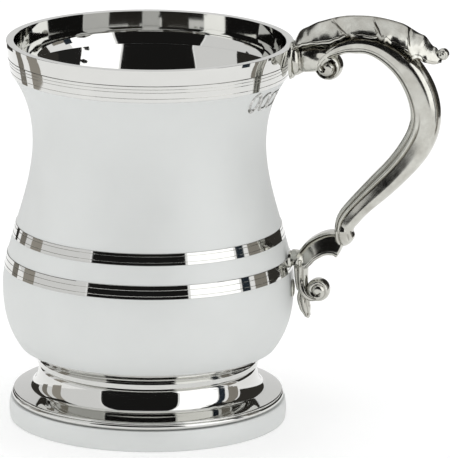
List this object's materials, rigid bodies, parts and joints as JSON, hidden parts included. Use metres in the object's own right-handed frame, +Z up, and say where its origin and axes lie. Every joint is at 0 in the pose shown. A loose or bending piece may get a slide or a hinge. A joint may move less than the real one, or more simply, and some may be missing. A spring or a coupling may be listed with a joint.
{
  "type": "pewter tankard",
  "caption": "Lidless bellied pewter drinking tankard with reeded rim and belly bands, spreading hollow foot and double-scroll handle with leaf thumbpiece.",
  "frame": {"origin": "middle of the part's bounding box in plan, on the surface that the foot stands on", "axes": "+Z up along the cup's axis, +X towards the handle, +Y to the left of someone who faces along +X"},
  "size_m": [0.1484, 0.097, 0.14],
  "materials": {
    "satin_pewter": "satin polished pewter, pale and even",
    "polished_pewter": "mirror polished pewter",
    "cast_pewter": "polished cast pewter, darker in its hollows",
    "plain_pewter": "plain turned pewter"
  },
  "bodies": {
    "root": {"upper_body": "satin_pewter", "belly_belt": "satin_pewter", "lower_bowl": "satin_pewter", "base_disc": "plain_pewter", "rim_reed_band": "polished_pewter", "lip_rim": "polished_pewter", "belly_band_upper": "polished_pewter", "belly_band_lower": "polished_pewter", "foot_collar": "polished_pewter", "foot_shell": "polished_pewter", "foot_edge_band": "satin_pewter", "handle_half_left": "cast_pewter", "handle_half_right": "cast_pewter", "thumb_leaf": "cast_pewter", "thumb_leaf_curl": "cast_pewter", "upper_volute": "cast_pewter", "upper_flange": "cast_pewter", "upper_neck": "cast_pewter", "handle_terminal": "cast_pewter", "lower_flange": "cast_pewter", "lower_scroll": "cast_pewter", "lower_strut": "cast_pewter", "lower_ball": "cast_pewter", "lower_petal": "cast_pewter"}
  },
  "joints": []
}
